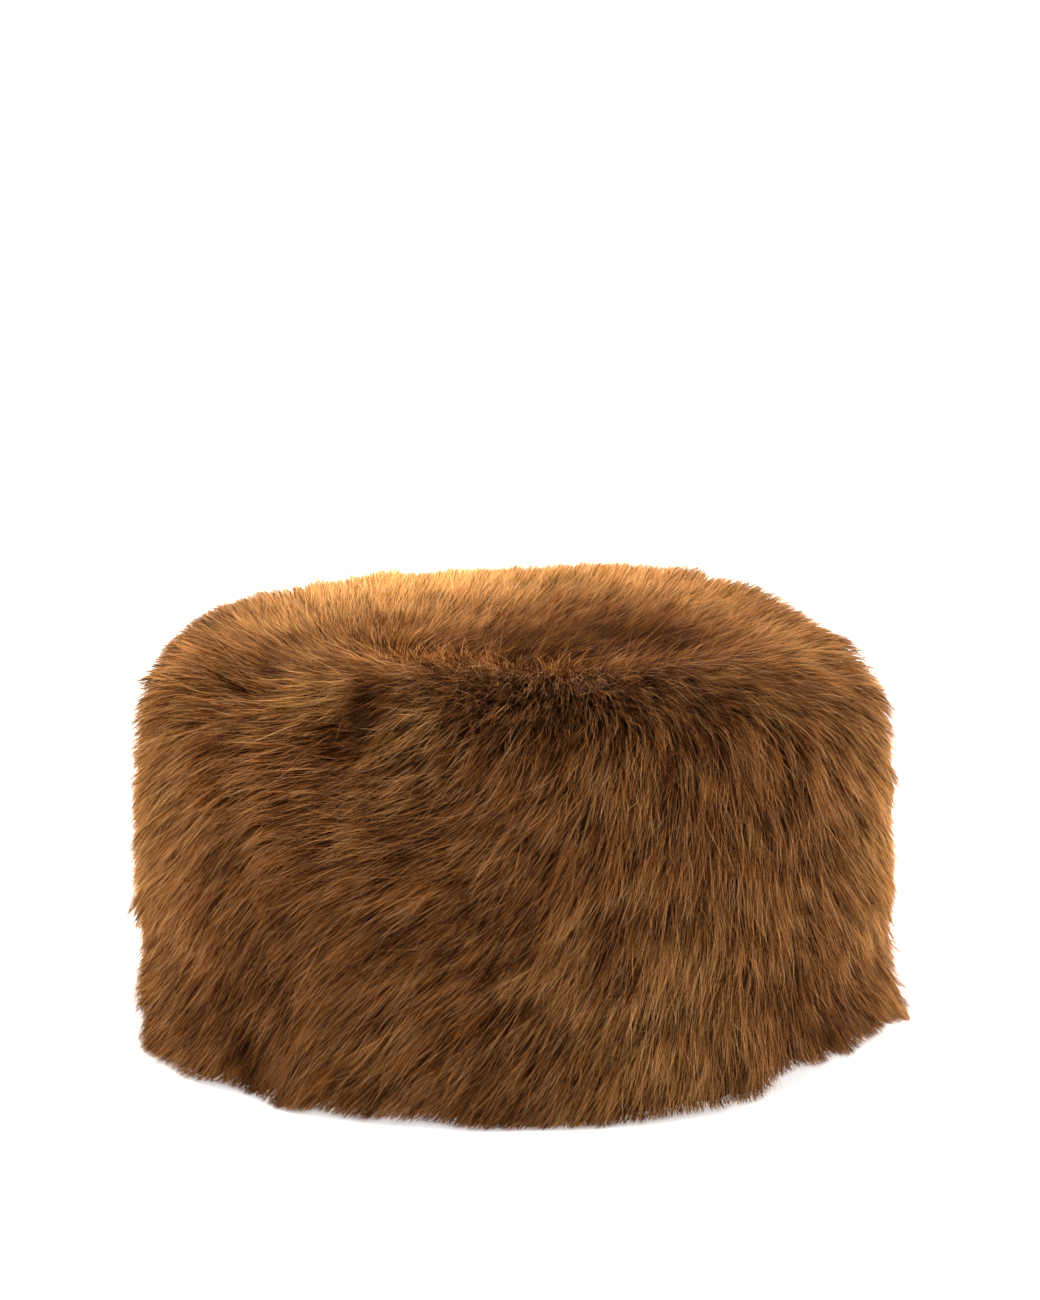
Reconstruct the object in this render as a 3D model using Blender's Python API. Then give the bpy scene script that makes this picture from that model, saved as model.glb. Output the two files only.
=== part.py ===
"""Deep-fur pillbox hat: a sheepskin band and crown, each with its long fur in overlapping locks.

Metres, +Z up. The hat stands on its rim at Z = 0, with its opening down. The long axis of the head
oval lies along X. Angles run round the oval: 0 at +X, 90 at +Y, and -90 at the side shown (-Y).
"""

import math
import random
from collections import namedtuple

import bmesh
import bpy

MM = 0.001
GAP = 0.3 * MM  # running clearance between neighbouring pieces

# Head opening and hide
HEAD_LONG = 190 * MM  # inner length of the oval, along X
HEAD_SHORT = 165 * MM  # inner width of the oval, along Y
HIDE_THICK = 2.5 * MM
BAND_HEIGHT = 112 * MM
BAND_TAPER = 4 * MM  # how far the hide leans in at its top, on each side
CROWN_RISE = 5 * MM  # dome of the crown panel
DOME_RINGS = (0.86, 0.55)  # where the dome is creased, as shares of the way to its edge
HIDE_COLUMNS = 72

OUTER_LONG = HEAD_LONG / 2 + HIDE_THICK
OUTER_SHORT = HEAD_SHORT / 2 + HIDE_THICK

# Outer form of the fur on the band: how far it stands off the foot of the hide at each height
Row = namedtuple("Row", "height offset")
BAND_FORM = (
    Row(0 * MM, 38.0 * MM),
    Row(10 * MM, 37.5 * MM),
    Row(22 * MM, 37.5 * MM),
    Row(45 * MM, 39.3 * MM),
    Row(80 * MM, 39.3 * MM),
    Row(105 * MM, 39.0 * MM),
    Row(122 * MM, 37.5 * MM),
    Row(134 * MM, 33.0 * MM),
    Row(142 * MM, 26.0 * MM),
)

# The fur's lower edge: how far it ends above the floor and how far it flares out, by angle
Hem = namedtuple("Hem", "angle raised flare")
BAND_HEM = (
    Hem(-180, 1.5 * MM, 2.0 * MM),
    Hem(-165, 0.5 * MM, 0.5 * MM),
    Hem(-150, 0.0 * MM, 0.0 * MM),
    Hem(-139, 3.5 * MM, 0.0 * MM),
    Hem(-133, 4.5 * MM, 0.0 * MM),
    Hem(-130, 0.0 * MM, 0.5 * MM),
    Hem(-90, 0.0 * MM, 0.0 * MM),
    Hem(-60, 1.0 * MM, 0.5 * MM),
    Hem(-54, 3.0 * MM, 0.5 * MM),
    Hem(-48, 7.0 * MM, 0.0 * MM),
    Hem(-15, 7.5 * MM, 4.0 * MM),
    Hem(0, 6.0 * MM, 8.0 * MM),
    Hem(30, 3.0 * MM, 1.0 * MM),
    Hem(100, 1.0 * MM, 0.0 * MM),
    Hem(180, 1.5 * MM, 2.0 * MM),
)
FLARE_HEIGHT = 20 * MM  # the flare fades out over this height above the hem

# Outer form of the fur on the crown: its height at each share of the way from the centre to its edge
Step = namedtuple("Step", "share height")
CROWN_FORM = (
    Step(0.00, 153.0 * MM),
    Step(0.45, 153.5 * MM),
    Step(0.70, 152.0 * MM),
    Step(0.88, 149.0 * MM),
    Step(1.00, 144.0 * MM),
)

# The upper edge of the hat isn't level: how much higher or lower the fur stands there, by angle
Rim = namedtuple("Rim", "angle raised")
RIM_FORM = (
    Rim(-180, 0 * MM),
    Rim(-90, 0 * MM),
    Rim(-60, -1 * MM),
    Rim(-25, -5 * MM),
    Rim(0, -8 * MM),
    Rim(20, -6 * MM),
    Rim(45, 3 * MM),
    Rim(65, 5 * MM),
    Rim(95, 1 * MM),
    Rim(125, 1 * MM),
    Rim(180, 0 * MM),
)
RIM_FOOT = 124 * MM  # below this height the fur isn't raised or lowered

# The parting between the two furs: a cone that climbs outwards from the seam of the hides
PARTING_FOOT = BAND_HEIGHT + GAP + HIDE_THICK
SHOULDER = BAND_FORM[-1]

# How far the hair leans off the vertical, by angle round the band. Positive leans towards the left
# of someone who faces that side.
Lean = namedtuple("Lean", "angle degrees")
BAND_LEAN = (
    Lean(-180, 6),
    Lean(-150, 14),
    Lean(-102, 32),
    Lean(-60, 16),
    Lean(-30, 7),
    Lean(0, 4),
    Lean(60, 5),
    Lean(180, 6),
)

# Locks
COLUMNS_PER_LOCK = 3
BAND_LOCKS = 48
BAND_TIERS = 4
BAND_TIER_HEIGHT = 34 * MM
CROWN_LOCKS = 36
CROWN_TIPS = (0.42, 0.72, 1.00)  # where each ring of locks ends, as a share of the way out
CROWN_SWIRL = math.radians(24)  # turn of the hair from the centre of the crown to its edge
BACKING = 2 * MM  # least thickness of fur behind a parting

Lock = namedtuple("Lock", "bellies tip_in undercut hook valley shorter uneven wave")
BAND_LOCK = Lock(
    bellies=(0.35, 0.75),  # where the lock is fullest, as shares of the way from its root to its tip
    tip_in=2.5 * MM,  # the tip lies this far inside the outer form
    undercut=7 * MM,  # depth of the step under a tip
    hook=4 * MM,  # how far the tip hangs past the step
    valley=3.5 * MM,  # depth of the furrow between two locks
    shorter=8 * MM,  # a lock's sides end this much higher than its tip
    uneven=5 * MM,  # spread of lengths from lock to lock
    wave=9 * MM,  # rise and fall of a whole tier of tips round the hat
)
CROWN_LOCK = BAND_LOCK._replace(undercut=6 * MM, valley=3 * MM, wave=8 * MM)
HEM_SHARE = 0.5  # how much of that unevenness the lowest tips keep
WAVES = (2, 3, 5)  # how many times the tips of a tier rise and fall in one turn

FUR_COLOUR = (0.16, 0.072, 0.025, 1.0)
CROWN_FUR_COLOUR = (0.20, 0.094, 0.032, 1.0)
HIDE_COLOUR = (0.42, 0.27, 0.16, 1.0)
SEED = 11


def between(table, place, column=1):
    """Value of a table's column at a place in its first column, eased smoothly from row to row."""
    if place <= table[0][0]:
        return table[0][column]
    for low, high in zip(table, table[1:]):
        if place <= high[0]:
            share = (place - low[0]) / (high[0] - low[0])
            eased = share * share * (3 - 2 * share)
            return low[column] + (high[column] - low[column]) * eased
    return table[-1][column]


def oval(angle, offset, height, share=1.0):
    """Point on the oval that runs this far outside the foot of the hide, drawn in by share."""
    x = (OUTER_LONG + offset) * share * math.cos(angle)
    y = (OUTER_SHORT + offset) * share * math.sin(angle)
    return (x, y, height)


def settled(point):
    """Raises or lowers a point of the fur with the uneven upper edge of the hat."""
    x, y, z = point
    across, along = x / (OUTER_LONG + SHOULDER.offset), y / (OUTER_SHORT + SHOULDER.offset)
    reach = min(1.0, math.hypot(across, along))
    rise = min(1.0, max(0.0, (z - RIM_FOOT) / (SHOULDER.height - RIM_FOOT)))
    raised = between(RIM_FORM, math.degrees(math.atan2(along, across)))
    return (x, y, z + raised * rise * reach**3)


def hide_offset(height):
    """How far the outside of the band's hide stands off its own foot."""
    return -BAND_TAPER * height / BAND_HEIGHT


def dome_height(share):
    """Height of the top of the crown's hide, at a share of the way to its edge."""
    return BAND_HEIGHT + GAP + HIDE_THICK + CROWN_RISE * (1 - share * share)


def parting(offset):
    """Height of the parting between the band's fur and the crown's."""
    share = (offset + BAND_TAPER) / (SHOULDER.offset + BAND_TAPER)
    return PARTING_FOOT + share * (SHOULDER.height - PARTING_FOOT)


def round_angles(count):
    return [2 * math.pi * i / count for i in range(count)]


def lock_shape(column, tier):
    """1 on the ridge of a lock and 0 in the furrow beside it. Tiers are staggered by half a lock."""
    phase = (column / COLUMNS_PER_LOCK + 0.5 * tier) % 1.0
    return 0.5 - 0.5 * math.cos(2 * math.pi * phase)


def lock_lengths(tiers, locks, lock, rng):
    """How much short of its tier's line each lock ends, by tier and lock."""
    tables = []
    for _ in range(tiers):
        phases = [rng.uniform(0, 2 * math.pi) for _ in WAVES]
        row = []
        for number in range(locks):
            angle = 2 * math.pi * number / locks
            swings = [math.sin(k * angle + p) for k, p in zip(WAVES, phases)]
            row.append(lock.wave * sum(swings) / len(WAVES) + rng.uniform(0, lock.uneven))
        tables.append(row)
    return tables


def lock_end(column, tier, lengths, lock):
    """How much short of its tier's line the fur ends in this column."""
    place = column / COLUMNS_PER_LOCK + 0.5 * tier
    row = lengths[tier]
    here = row[int(place) % len(row)]
    shape = lock_shape(column, tier)
    nearest = row[round(place) % len(row)]
    before = row[(round(place) - 1) % len(row)]
    return here * shape + (0.5 * (nearest + before) + lock.shorter) * (1 - shape)


def closed_object(name, verts, faces, colour, smooth=False):
    """Adds one closed mesh with its own material, its faces pointing out."""
    mesh = bpy.data.meshes.new(name)
    mesh.from_pydata(verts, [], faces)
    work = bmesh.new()
    work.from_mesh(mesh)
    bmesh.ops.recalc_face_normals(work, faces=work.faces)
    work.to_mesh(mesh)
    work.free()
    if smooth:
        mesh.shade_smooth()
        mesh.set_sharp_from_angle(angle=math.radians(40))
    finish = bpy.data.materials.new(name)
    finish.use_nodes = True
    shader = finish.node_tree.nodes["Principled BSDF"]
    shader.inputs["Base Color"].default_value = colour
    shader.inputs["Roughness"].default_value = 0.9
    shader.inputs["Metallic"].default_value = 0.0
    mesh.materials.append(finish)
    made = bpy.data.objects.new(name, mesh)
    bpy.context.scene.collection.objects.link(made)
    return made


def sleeve(name, columns, colour, smooth=False):
    """Lofts closed outlines, one for each column, into a ring."""
    rows = len(columns[0])
    verts = [point for column in columns for point in column]
    faces = []
    for c in range(len(columns)):
        beside = (c + 1) % len(columns)
        for r in range(rows):
            below = (r + 1) % rows
            faces.append(
                (c * rows + r, beside * rows + r, beside * rows + below, c * rows + below)
            )
    return closed_object(name, verts, faces, colour, smooth)


def cap(name, top, columns, bottom, colour, smooth=False):
    """Lofts open outlines, which run from a point on the top to a point underneath, into a cap."""
    rows = len(columns[0])
    verts = [point for column in columns for point in column] + [top, bottom]
    top_index, bottom_index = len(verts) - 2, len(verts) - 1
    faces = []
    for c in range(len(columns)):
        beside = (c + 1) % len(columns)
        faces.append((top_index, beside * rows, c * rows))
        for r in range(rows - 1):
            faces.append(
                (c * rows + r, beside * rows + r, beside * rows + r + 1, c * rows + r + 1)
            )
        faces.append((c * rows + rows - 1, beside * rows + rows - 1, bottom_index))
    return closed_object(name, verts, faces, colour, smooth)


def band_hide():
    """The leather wall of the side, open below, on a flat rim."""
    columns = []
    for angle in round_angles(HIDE_COLUMNS):
        columns.append(
            [
                oval(angle, hide_offset(0), 0),
                oval(angle, hide_offset(BAND_HEIGHT), BAND_HEIGHT),
                oval(angle, hide_offset(BAND_HEIGHT) - HIDE_THICK, BAND_HEIGHT),
                oval(angle, hide_offset(0) - HIDE_THICK, 0),
            ]
        )
    return sleeve("band_hide", columns, HIDE_COLOUR, smooth=True)


def crown_hide():
    """The leather panel of the top, which lies on the band's upper edge."""
    edge = hide_offset(BAND_HEIGHT)
    seat = BAND_HEIGHT + GAP
    columns = []
    for angle in round_angles(HIDE_COLUMNS):
        upper = [oval(angle, edge, dome_height(share), share) for share in reversed(DOME_RINGS)]
        upper.append(oval(angle, edge, dome_height(1)))
        rim = [oval(angle, edge, seat), oval(angle, edge - HIDE_THICK, seat)]
        lower = [oval(angle, edge, dome_height(s) - HIDE_THICK, s) for s in DOME_RINGS]
        columns.append(upper + rim + lower)
    top = (0, 0, dome_height(0))
    bottom = (0, 0, dome_height(0) - HIDE_THICK)
    return cap("crown_hide", top, columns, bottom, HIDE_COLOUR, smooth=True)


def leaning(angle, offset, height):
    """Where the fur that starts at this angle on the shoulder has got to, lower down."""
    fallen = max(0.0, SHOULDER.height - height)
    lean = math.radians(between(BAND_LEAN, math.degrees(angle)))
    shown = min(1.0, max(0.0, offset / SHOULDER.offset))
    return angle - shown * fallen * math.tan(lean) / (OUTER_LONG + offset)


def band_offset(height, flare):
    """How far the outer form of the band's fur stands off the foot of the hide at this height."""
    return between(BAND_FORM, height) + flare * max(0.0, 1 - height / FLARE_HEIGHT)


def band_fur_column(column, angle, lengths):
    """Outline of the band's fur in one column: down the tiers of locks, then up behind them."""
    # From the seam of the hides, out along the parting to the shoulder of the fur
    seam = hide_offset(BAND_HEIGHT) + GAP
    points = [(offset, parting(offset) - GAP) for offset in (seam, SHOULDER.offset - BACKING)]
    hem = math.degrees(leaning(angle, SHOULDER.offset, 0)) % 360
    hem = hem - 360 if hem > 180 else hem
    raised = between(BAND_HEM, hem, 1)
    flare = between(BAND_HEM, hem, 2)
    lock = BAND_LOCK
    root = SHOULDER.height
    for tier in range(BAND_TIERS):
        last = tier == BAND_TIERS - 1
        furrow = lock.valley * (1 - lock_shape(column, tier))
        short = lock_end(column, tier, lengths, lock)
        tip = (BAND_TIERS - 1 - tier) * BAND_TIER_HEIGHT + short
        if last:
            tip = raised + max(0.0, short - lock.wave) * HEM_SHARE
        for belly in lock.bellies:
            height = root + belly * (tip - root)
            points.append((band_offset(height, flare) - furrow, height))
        form = band_offset(tip, flare)
        points.append((form - furrow if last else form - furrow - lock.tip_in, tip))
        points.append((form - lock.undercut - furrow, tip + lock.hook))
        root = tip + lock.hook
    # Behind the hem, the fur's root meets the foot of the hide
    points.append((hide_offset(0) + GAP, BACKING))
    return [oval(leaning(angle, offset, height), offset, height) for offset, height in points]


def band_fur(rng):
    """Long fur round the side: four tiers of locks that hang over each other, fused to one sleeve."""
    count = BAND_LOCKS * COLUMNS_PER_LOCK
    lengths = lock_lengths(BAND_TIERS, BAND_LOCKS, BAND_LOCK, rng)
    columns = [
        band_fur_column(c, 2 * math.pi * c / count - math.pi, lengths) for c in range(count)
    ]
    columns = [[settled(point) for point in column] for column in columns]
    return sleeve("band_fur", columns, FUR_COLOUR)


def crown_fur_column(column, angle, lengths):
    """Outline of the crown's fur in one column: out over the rings of locks, then in underneath."""
    lock = CROWN_LOCK
    reach = OUTER_LONG + SHOULDER.offset
    points = []
    root = 0.0
    for tier, tier_share in enumerate(CROWN_TIPS):
        last = tier == len(CROWN_TIPS) - 1
        short = lock_end(column, tier, lengths, lock)
        if last:
            short = max(0.0, short - lock.wave)
        tip_share = tier_share - short / reach
        furrow = lock.valley * (1 - lock_shape(column, tier)) * tier_share
        for belly in lock.bellies:
            share = root + belly * (tip_share - root)
            points.append((share, between(CROWN_FORM, share) - furrow))
        tip = between(CROWN_FORM, tip_share) - lock.tip_in - furrow
        if last:
            points.append((tip_share, max(tip, SHOULDER.height + 2 * GAP)))
            break
        points.append((tip_share, tip))
        root = tip_share - lock.hook / reach
        points.append((root, between(CROWN_FORM, root) - lock.undercut))
    outline = []
    for share, height in points:
        turned = angle + CROWN_SWIRL * share * share
        outline.append(oval(turned, SHOULDER.offset, height, share))
    # Back in along the parting, and over the hide
    turned = angle + CROWN_SWIRL
    hide_edge = hide_offset(BAND_HEIGHT)
    for offset in (SHOULDER.offset - BACKING, hide_edge):
        outline.append(oval(turned, offset, parting(offset) + GAP))
    for share in DOME_RINGS:
        outline.append(oval(turned, hide_edge, dome_height(share) + GAP, share))
    return outline


def crown_fur(rng):
    """Fur of the top: three rings of locks that lie outwards from the centre, fused to one pad."""
    count = CROWN_LOCKS * COLUMNS_PER_LOCK
    lengths = lock_lengths(len(CROWN_TIPS), CROWN_LOCKS, CROWN_LOCK, rng)
    columns = [crown_fur_column(c, 2 * math.pi * c / count, lengths) for c in range(count)]
    columns = [[settled(point) for point in column] for column in columns]
    top = (0, 0, CROWN_FORM[0].height)
    bottom = (0, 0, dome_height(0) + GAP)
    return cap("crown_fur", top, columns, bottom, CROWN_FUR_COLOUR)


def middle(piece, axis):
    """Middle of a piece's box along one axis."""
    places = [vertex.co[axis] for vertex in piece.data.vertices]
    return (min(places) + max(places)) / 2


def main():
    for old in list(bpy.data.objects):
        bpy.data.objects.remove(old)
    rng = random.Random(SEED)
    hat = bpy.data.objects.new("fur_hat", None)
    bpy.context.scene.collection.objects.link(hat)
    band = band_fur(rng)
    for piece in (band_hide(), crown_hide(), band, crown_fur(rng)):
        piece.parent = hat
    # The band's fur is the widest piece, and the origin is the middle of its box
    hat.location = (-middle(band, 0), -middle(band, 1), 0)


main()
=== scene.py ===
"""Long-haired sheepskin pillbox hat: hide, under-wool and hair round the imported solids.

Metres, in the row frame: +Z up, the hat on its rim at Z = 0, the side shown facing -Y. Angles run
round the head oval in degrees, 0 at +X and -90 at the front.
"""

import math

import bpy
import numpy as np
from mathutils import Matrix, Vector
from mathutils.bvhtree import BVHTree


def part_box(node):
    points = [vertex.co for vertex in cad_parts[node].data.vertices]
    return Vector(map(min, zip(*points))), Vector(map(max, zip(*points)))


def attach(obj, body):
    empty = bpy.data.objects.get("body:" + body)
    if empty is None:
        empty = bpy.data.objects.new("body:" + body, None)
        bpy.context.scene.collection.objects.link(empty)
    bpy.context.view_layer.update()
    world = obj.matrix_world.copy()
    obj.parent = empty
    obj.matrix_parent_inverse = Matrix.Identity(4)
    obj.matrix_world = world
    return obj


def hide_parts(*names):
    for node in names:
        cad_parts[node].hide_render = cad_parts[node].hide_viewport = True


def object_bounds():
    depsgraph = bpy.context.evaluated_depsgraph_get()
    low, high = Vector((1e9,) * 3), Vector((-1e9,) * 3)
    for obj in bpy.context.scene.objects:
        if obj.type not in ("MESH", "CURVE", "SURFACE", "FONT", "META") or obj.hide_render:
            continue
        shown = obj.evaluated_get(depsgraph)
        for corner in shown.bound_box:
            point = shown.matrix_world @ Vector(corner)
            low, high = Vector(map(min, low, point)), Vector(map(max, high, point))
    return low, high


bl_info = {
    "name": "Fur Pillbox Hat",
    "version": (1, 0, 0),
    "blender": (4, 5, 0),
    "location": "View3D > Sidebar > Fur Hat",
    "description": "Builds a long-haired sheepskin pillbox hat and its studio",
    "category": "Add Mesh",
}

MATH = "ShaderNodeMath"
VECTOR_MATH = "ShaderNodeVectorMath"

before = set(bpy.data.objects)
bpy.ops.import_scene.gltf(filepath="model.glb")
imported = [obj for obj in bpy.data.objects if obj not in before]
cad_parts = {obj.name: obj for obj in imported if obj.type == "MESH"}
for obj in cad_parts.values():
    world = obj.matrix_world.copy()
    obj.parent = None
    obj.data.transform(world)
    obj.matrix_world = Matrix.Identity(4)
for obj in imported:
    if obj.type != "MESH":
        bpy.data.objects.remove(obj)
CAD_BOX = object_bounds()
MM = 0.001

# The hide's top panel gives the middle of the head oval and the size of the wall at its top
PANEL_LOW, PANEL_HIGH = (Vector(corner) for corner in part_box("crown_hide"))
WALL_LOW, WALL_HIGH = (Vector(corner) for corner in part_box("band_hide"))
HAT_MIDDLE = (PANEL_LOW + PANEL_HIGH) / 2
CORE_LONG = (PANEL_HIGH.x - PANEL_LOW.x) / 2
CORE_SHORT = (PANEL_HIGH.y - PANEL_LOW.y) / 2
HIDE_THICK = 2.5 * MM
CORE_TOP = WALL_HIGH.z + HIDE_THICK
WALL_LEAN = (WALL_HIGH.x - WALL_LOW.x) / 2 - CORE_LONG  # how far the wall's foot stands out further
WOOL_GAP = 0.6 * MM  # between the hide and the wool

# Grid of the hair's ground: columns round the hat, rows from the middle of the crown to the hem
COLUMNS = 144
CROWN_ROWS = 14
CORNER_ROWS = 7
BAND_ROWS = 22
ROWS = CROWN_ROWS + CORNER_ROWS + BAND_ROWS
SEAM_ROW = CROWN_ROWS + CORNER_ROWS // 2  # the last row of the crown and the first of the band
INNER_ROW = 0.35  # how far the first row is from the crown's middle, in rows
CROWN_SPAN = CROWN_ROWS - 1 + INNER_ROW
BLEND_ROWS = 4  # rows over which the crown's way gives over to the side's
RAY_REACH = 90 * MM  # more than the fur's depth anywhere
SMALLEST_STEP = 0.8 * MM  # columns of the crown's inner rows lie closer, and count as this far apart

# The fur's lower edge at an angle is the lowest packed vertex near it that is far enough out
OUTER_REACH = 1.3  # in head ovals
HEM_HIGHEST = 15 * MM
HEM_WINDOW = math.radians(2.6)

# Loose hair is deeper over the seam of the two furs, and shallower in the last rows over the hem
SEAM_DEEPER = 2.5 * MM
SEAM_SPREAD = 1.3  # rows
HEM_SHALLOWER = (0.9, 0.75, 0.6)

# A strand's path is found in this many strides, and goes through the places after each third of them
WALK_STEPS = 12
THIRD = WALK_STEPS // 3

# On the crown the hair runs away from a whorl near its front left edge, turned a little clockwise
WHORL = np.array((-43.0, -58.0)) * MM
WHORL_TURN = math.radians(12)

# On the side and the shoulder, how far the hair leans off the fall line, in degrees: the angle round
# the hat, and then the lean at each height. Positive leans to the left of someone who faces that
# side, and 90 lies level.
LEAN_HEIGHTS = (15 * MM, 60 * MM, 85 * MM, 100 * MM, 115 * MM, 130 * MM, 143 * MM)
HAIR_LEAN = (
    (-180, 28, 20, 18, 20, 26, 40, 50),
    (-160, 28, 18, 16, 20, 36, 56, 58),
    (-150, 24, 18, 16, 20, 40, 66, 66),
    (-143, 18, 20, 20, 26, 46, 82, 70),
    (-135, 14, 22, 26, 34, 62, 86, 60),
    (-130, 14, 26, 38, 66, 80, 78, 48),
    (-121, 26, 40, 64, 82, 82, 62, 38),
    (-112, 38, 48, 64, 80, 78, 50, 30),
    (-102, 40, 48, 56, 66, 62, 42, 28),
    (-92, 37, 40, 45, 48, 44, 36, 24),
    (-81, 33, 30, 32, 34, 32, 28, 10),
    (-70, 28, 24, 22, 21, 19, 12, -8),
    (-57, 21, 20, 18, 17, 16, 9, -12),
    (-43, 8, 12, 14, 14, 11, 0, -22),
    (-31, -18, -6, -6, -8, -12, -24, -32),
    (0, -12, -6, -6, -7, -10, -16, -22),
    (60, 8, 8, 8, 7, 6, 5, 8),
    (120, 14, 12, 12, 12, 14, 20, 30),
    (180, 28, 20, 18, 20, 26, 40, 50),
)

# Places where the hair parts, stands up or bunches: x, y, z, spread, shorter, lift and tone. Shorter
# is the share of its length that the hair lacks there, which lets more shade in. Lift adds height.
# Tone is painted light and shade in the hair's colour: painted shade below 0, and painted light
# that turns it golden above. Places, spread and lift are in mm.
HAIR_PATCHES = (
    # Two hollows beside the whorl in painted shade, the lock on their left in painted light and the
    # hair under it in painted shade
    (-52, -104, 137, 7, 0.50, -5.5, -0.90),
    (-61, -107, 129, 7, 0.50, -5.5, -0.95),
    (-45, -112, 126, 16, 0.10, -1.0, 0.20),
    (-36, -110, 133, 8, -0.10, 1.0, 0.45),
    (-98, -84, 120, 13, 0.15, -2.0, -0.30),
    (-66, -92, 144, 9, -0.50, 2.0, 0.55),
    (-77, -92, 138, 9, -0.50, 1.5, 0.55),
    (-94, -82, 128, 9, -0.20, 1.0, 0.30),
    # The channel above the notch in the lower left edge, darkened with painted shade
    (-98, -85, 42, 6, 0.30, -3.0, -0.40),
    (-98, -86, 30, 6, 0.45, -5.0, -0.80),
    (-96, -88, 18, 6, 0.20, -3.0, -0.90),
    (-93, -90, 7, 7, 0, -1.0, -0.90),
    # Gaps along the front of the crown and in the side, darkened with painted shade
    (15, -118, 130, 6, 0.30, -2.0, -0.50),
    (63, -106, 124, 6, 0.30, -2.0, -0.50),
    (92, -89, 115, 6, 0.30, -2.0, -0.50),
    (-13, -123, 74, 6, 0.25, -2.0, -0.45),
    (10, -124, 80, 5, 0.25, -2.0, -0.40),
    # Painted shade makes the near half of the crown darker, its front edge most
    (-2, -52, 153, 28, 0, 0, -0.70),
    (48, -45, 152, 28, 0, 0, -0.62),
    (-12, -100, 146, 14, 0.10, 0, -0.15),
    (24, -100, 146, 14, 0.10, 0, -0.15),
    (65, -98, 138, 14, 0.10, 0, -0.15),
    # Painted light makes its far half and both ends of the hat golden and lights the lower front;
    # painted shade darkens patches of the crown, the front's left side and the back
    (30, -16, 154, 32, 0, 0, -0.30),
    (45, 62, 154, 56, 0, 5.0, 0.50),
    (-45, 60, 153, 50, 0, 2.0, 1.10),
    (-17, -30, 153, 14, 0, 0, 0.30),
    (-80, -18, 152, 25, 0, 0, 0.30),
    (97, -30, 146, 25, 0, 0, 0.25),
    (-122, -50, 85, 45, 0, 3.5, 0.10),
    (-135, -30, 85, 34, 0, 0, 0.24),
    (118, -50, 80, 45, 0, 0, 0.05),
    (135, -25, 80, 36, 0, 0, 0.40),
    (48, -111, 28, 32, 0, 0, 0.28),
    (-74, -100, 66, 42, 0, 0, -0.22),
    (-92, -88, 28, 24, 0, 0, -0.15),
    (0, 125, 60, 75, 0, 0, -0.35),
    # Shade at the lower right
    (106, -74, 20, 12, 0.10, 0, -0.25),
    (120, -52, 26, 14, 0.10, 0, -0.22),
    # Tufts that flare at both ends of the hem, and the fullness of both shoulders
    (-128, -25, 8, 13, 0, 2.5, 0),
    (132, -20, 8, 14, 0, 2.5, 0),
    (121, -38, 132, 18, 0, -6.0, 0),
    (-122, -25, 105, 26, 0, 1.5, 0),
    (-117, -44, 142, 13, 0, 5.0, 0),
)
OUTER_GAIN = 1.5 * MM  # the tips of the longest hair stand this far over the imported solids
HAIR_TOP = CAD_BOX[1].z + 13.5 * MM  # no hair reaches higher

# The hair's ends hang past the wool's edge, which is raised to suit: the angle round the hat, and the
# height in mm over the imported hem
OVERHANG = 2.2 * MM
HEM_RAISE = (
    (-180, 1.2), (-163, 2.2), (-155, 6.2), (-147, 3.2), (-142, 5.2), (-135, -1.5), (-131, 3.8),
    (-129, -0.5), (-127, 0.2), (-122, 3.5), (-120, 5.5), (-117, 2.8), (-112, 3.2), (-107, 5.4),
    (-100, 4.0), (-95, 0.4), (-92, 2.0), (-87, -0.5), (-82, 1.8), (-78, 0.4), (-72, 2.4),
    (-65, 3.4), (-60, 3.2), (-55, 2.5), (-50, 0.0), (-48, 5.0), (-42, 5.4), (-40, 4.4),
    (-35, 4.3), (-27, 3.5), (-20, 6.2), (-12, 4.2), (0, 0.2), (180, 1.2),
)


def linear(code):
    """sRGB hex to a linear RGBA colour."""
    parts = [int(code[i : i + 2], 16) / 255 for i in (1, 3, 5)]
    return tuple(p / 12.92 if p <= 0.04045 else ((p + 0.055) / 1.055) ** 2.4 for p in parts) + (1,)


def add(tree, kind, inputs=None, output=None, **settings):
    """Adds a node with its settings, fills or links its inputs, and returns one output."""
    made = tree.nodes.new(kind)
    for name, value in settings.items():
        setattr(made, name, value)
    usable = [socket for socket in made.inputs if socket.enabled]
    for key, value in (inputs or {}).items():
        found = usable[key] if isinstance(key, int) else [s for s in usable if s.name == key][0]
        if isinstance(value, bpy.types.NodeSocket):
            tree.links.new(value, found)
        else:
            found.default_value = value
    given = [socket for socket in made.outputs if socket.enabled]
    return given[0] if output is None else [s for s in given if s.name == output][0]


def distance(name, text, size):
    """A property that holds a distance."""
    return bpy.props.FloatProperty(name=name, description=text, default=size, unit="LENGTH")


def tint(name, text, code):
    """A property that holds a colour."""
    return bpy.props.FloatVectorProperty(
        name=name, description=text, default=linear(code), size=4, subtype="COLOR"
    )


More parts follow.
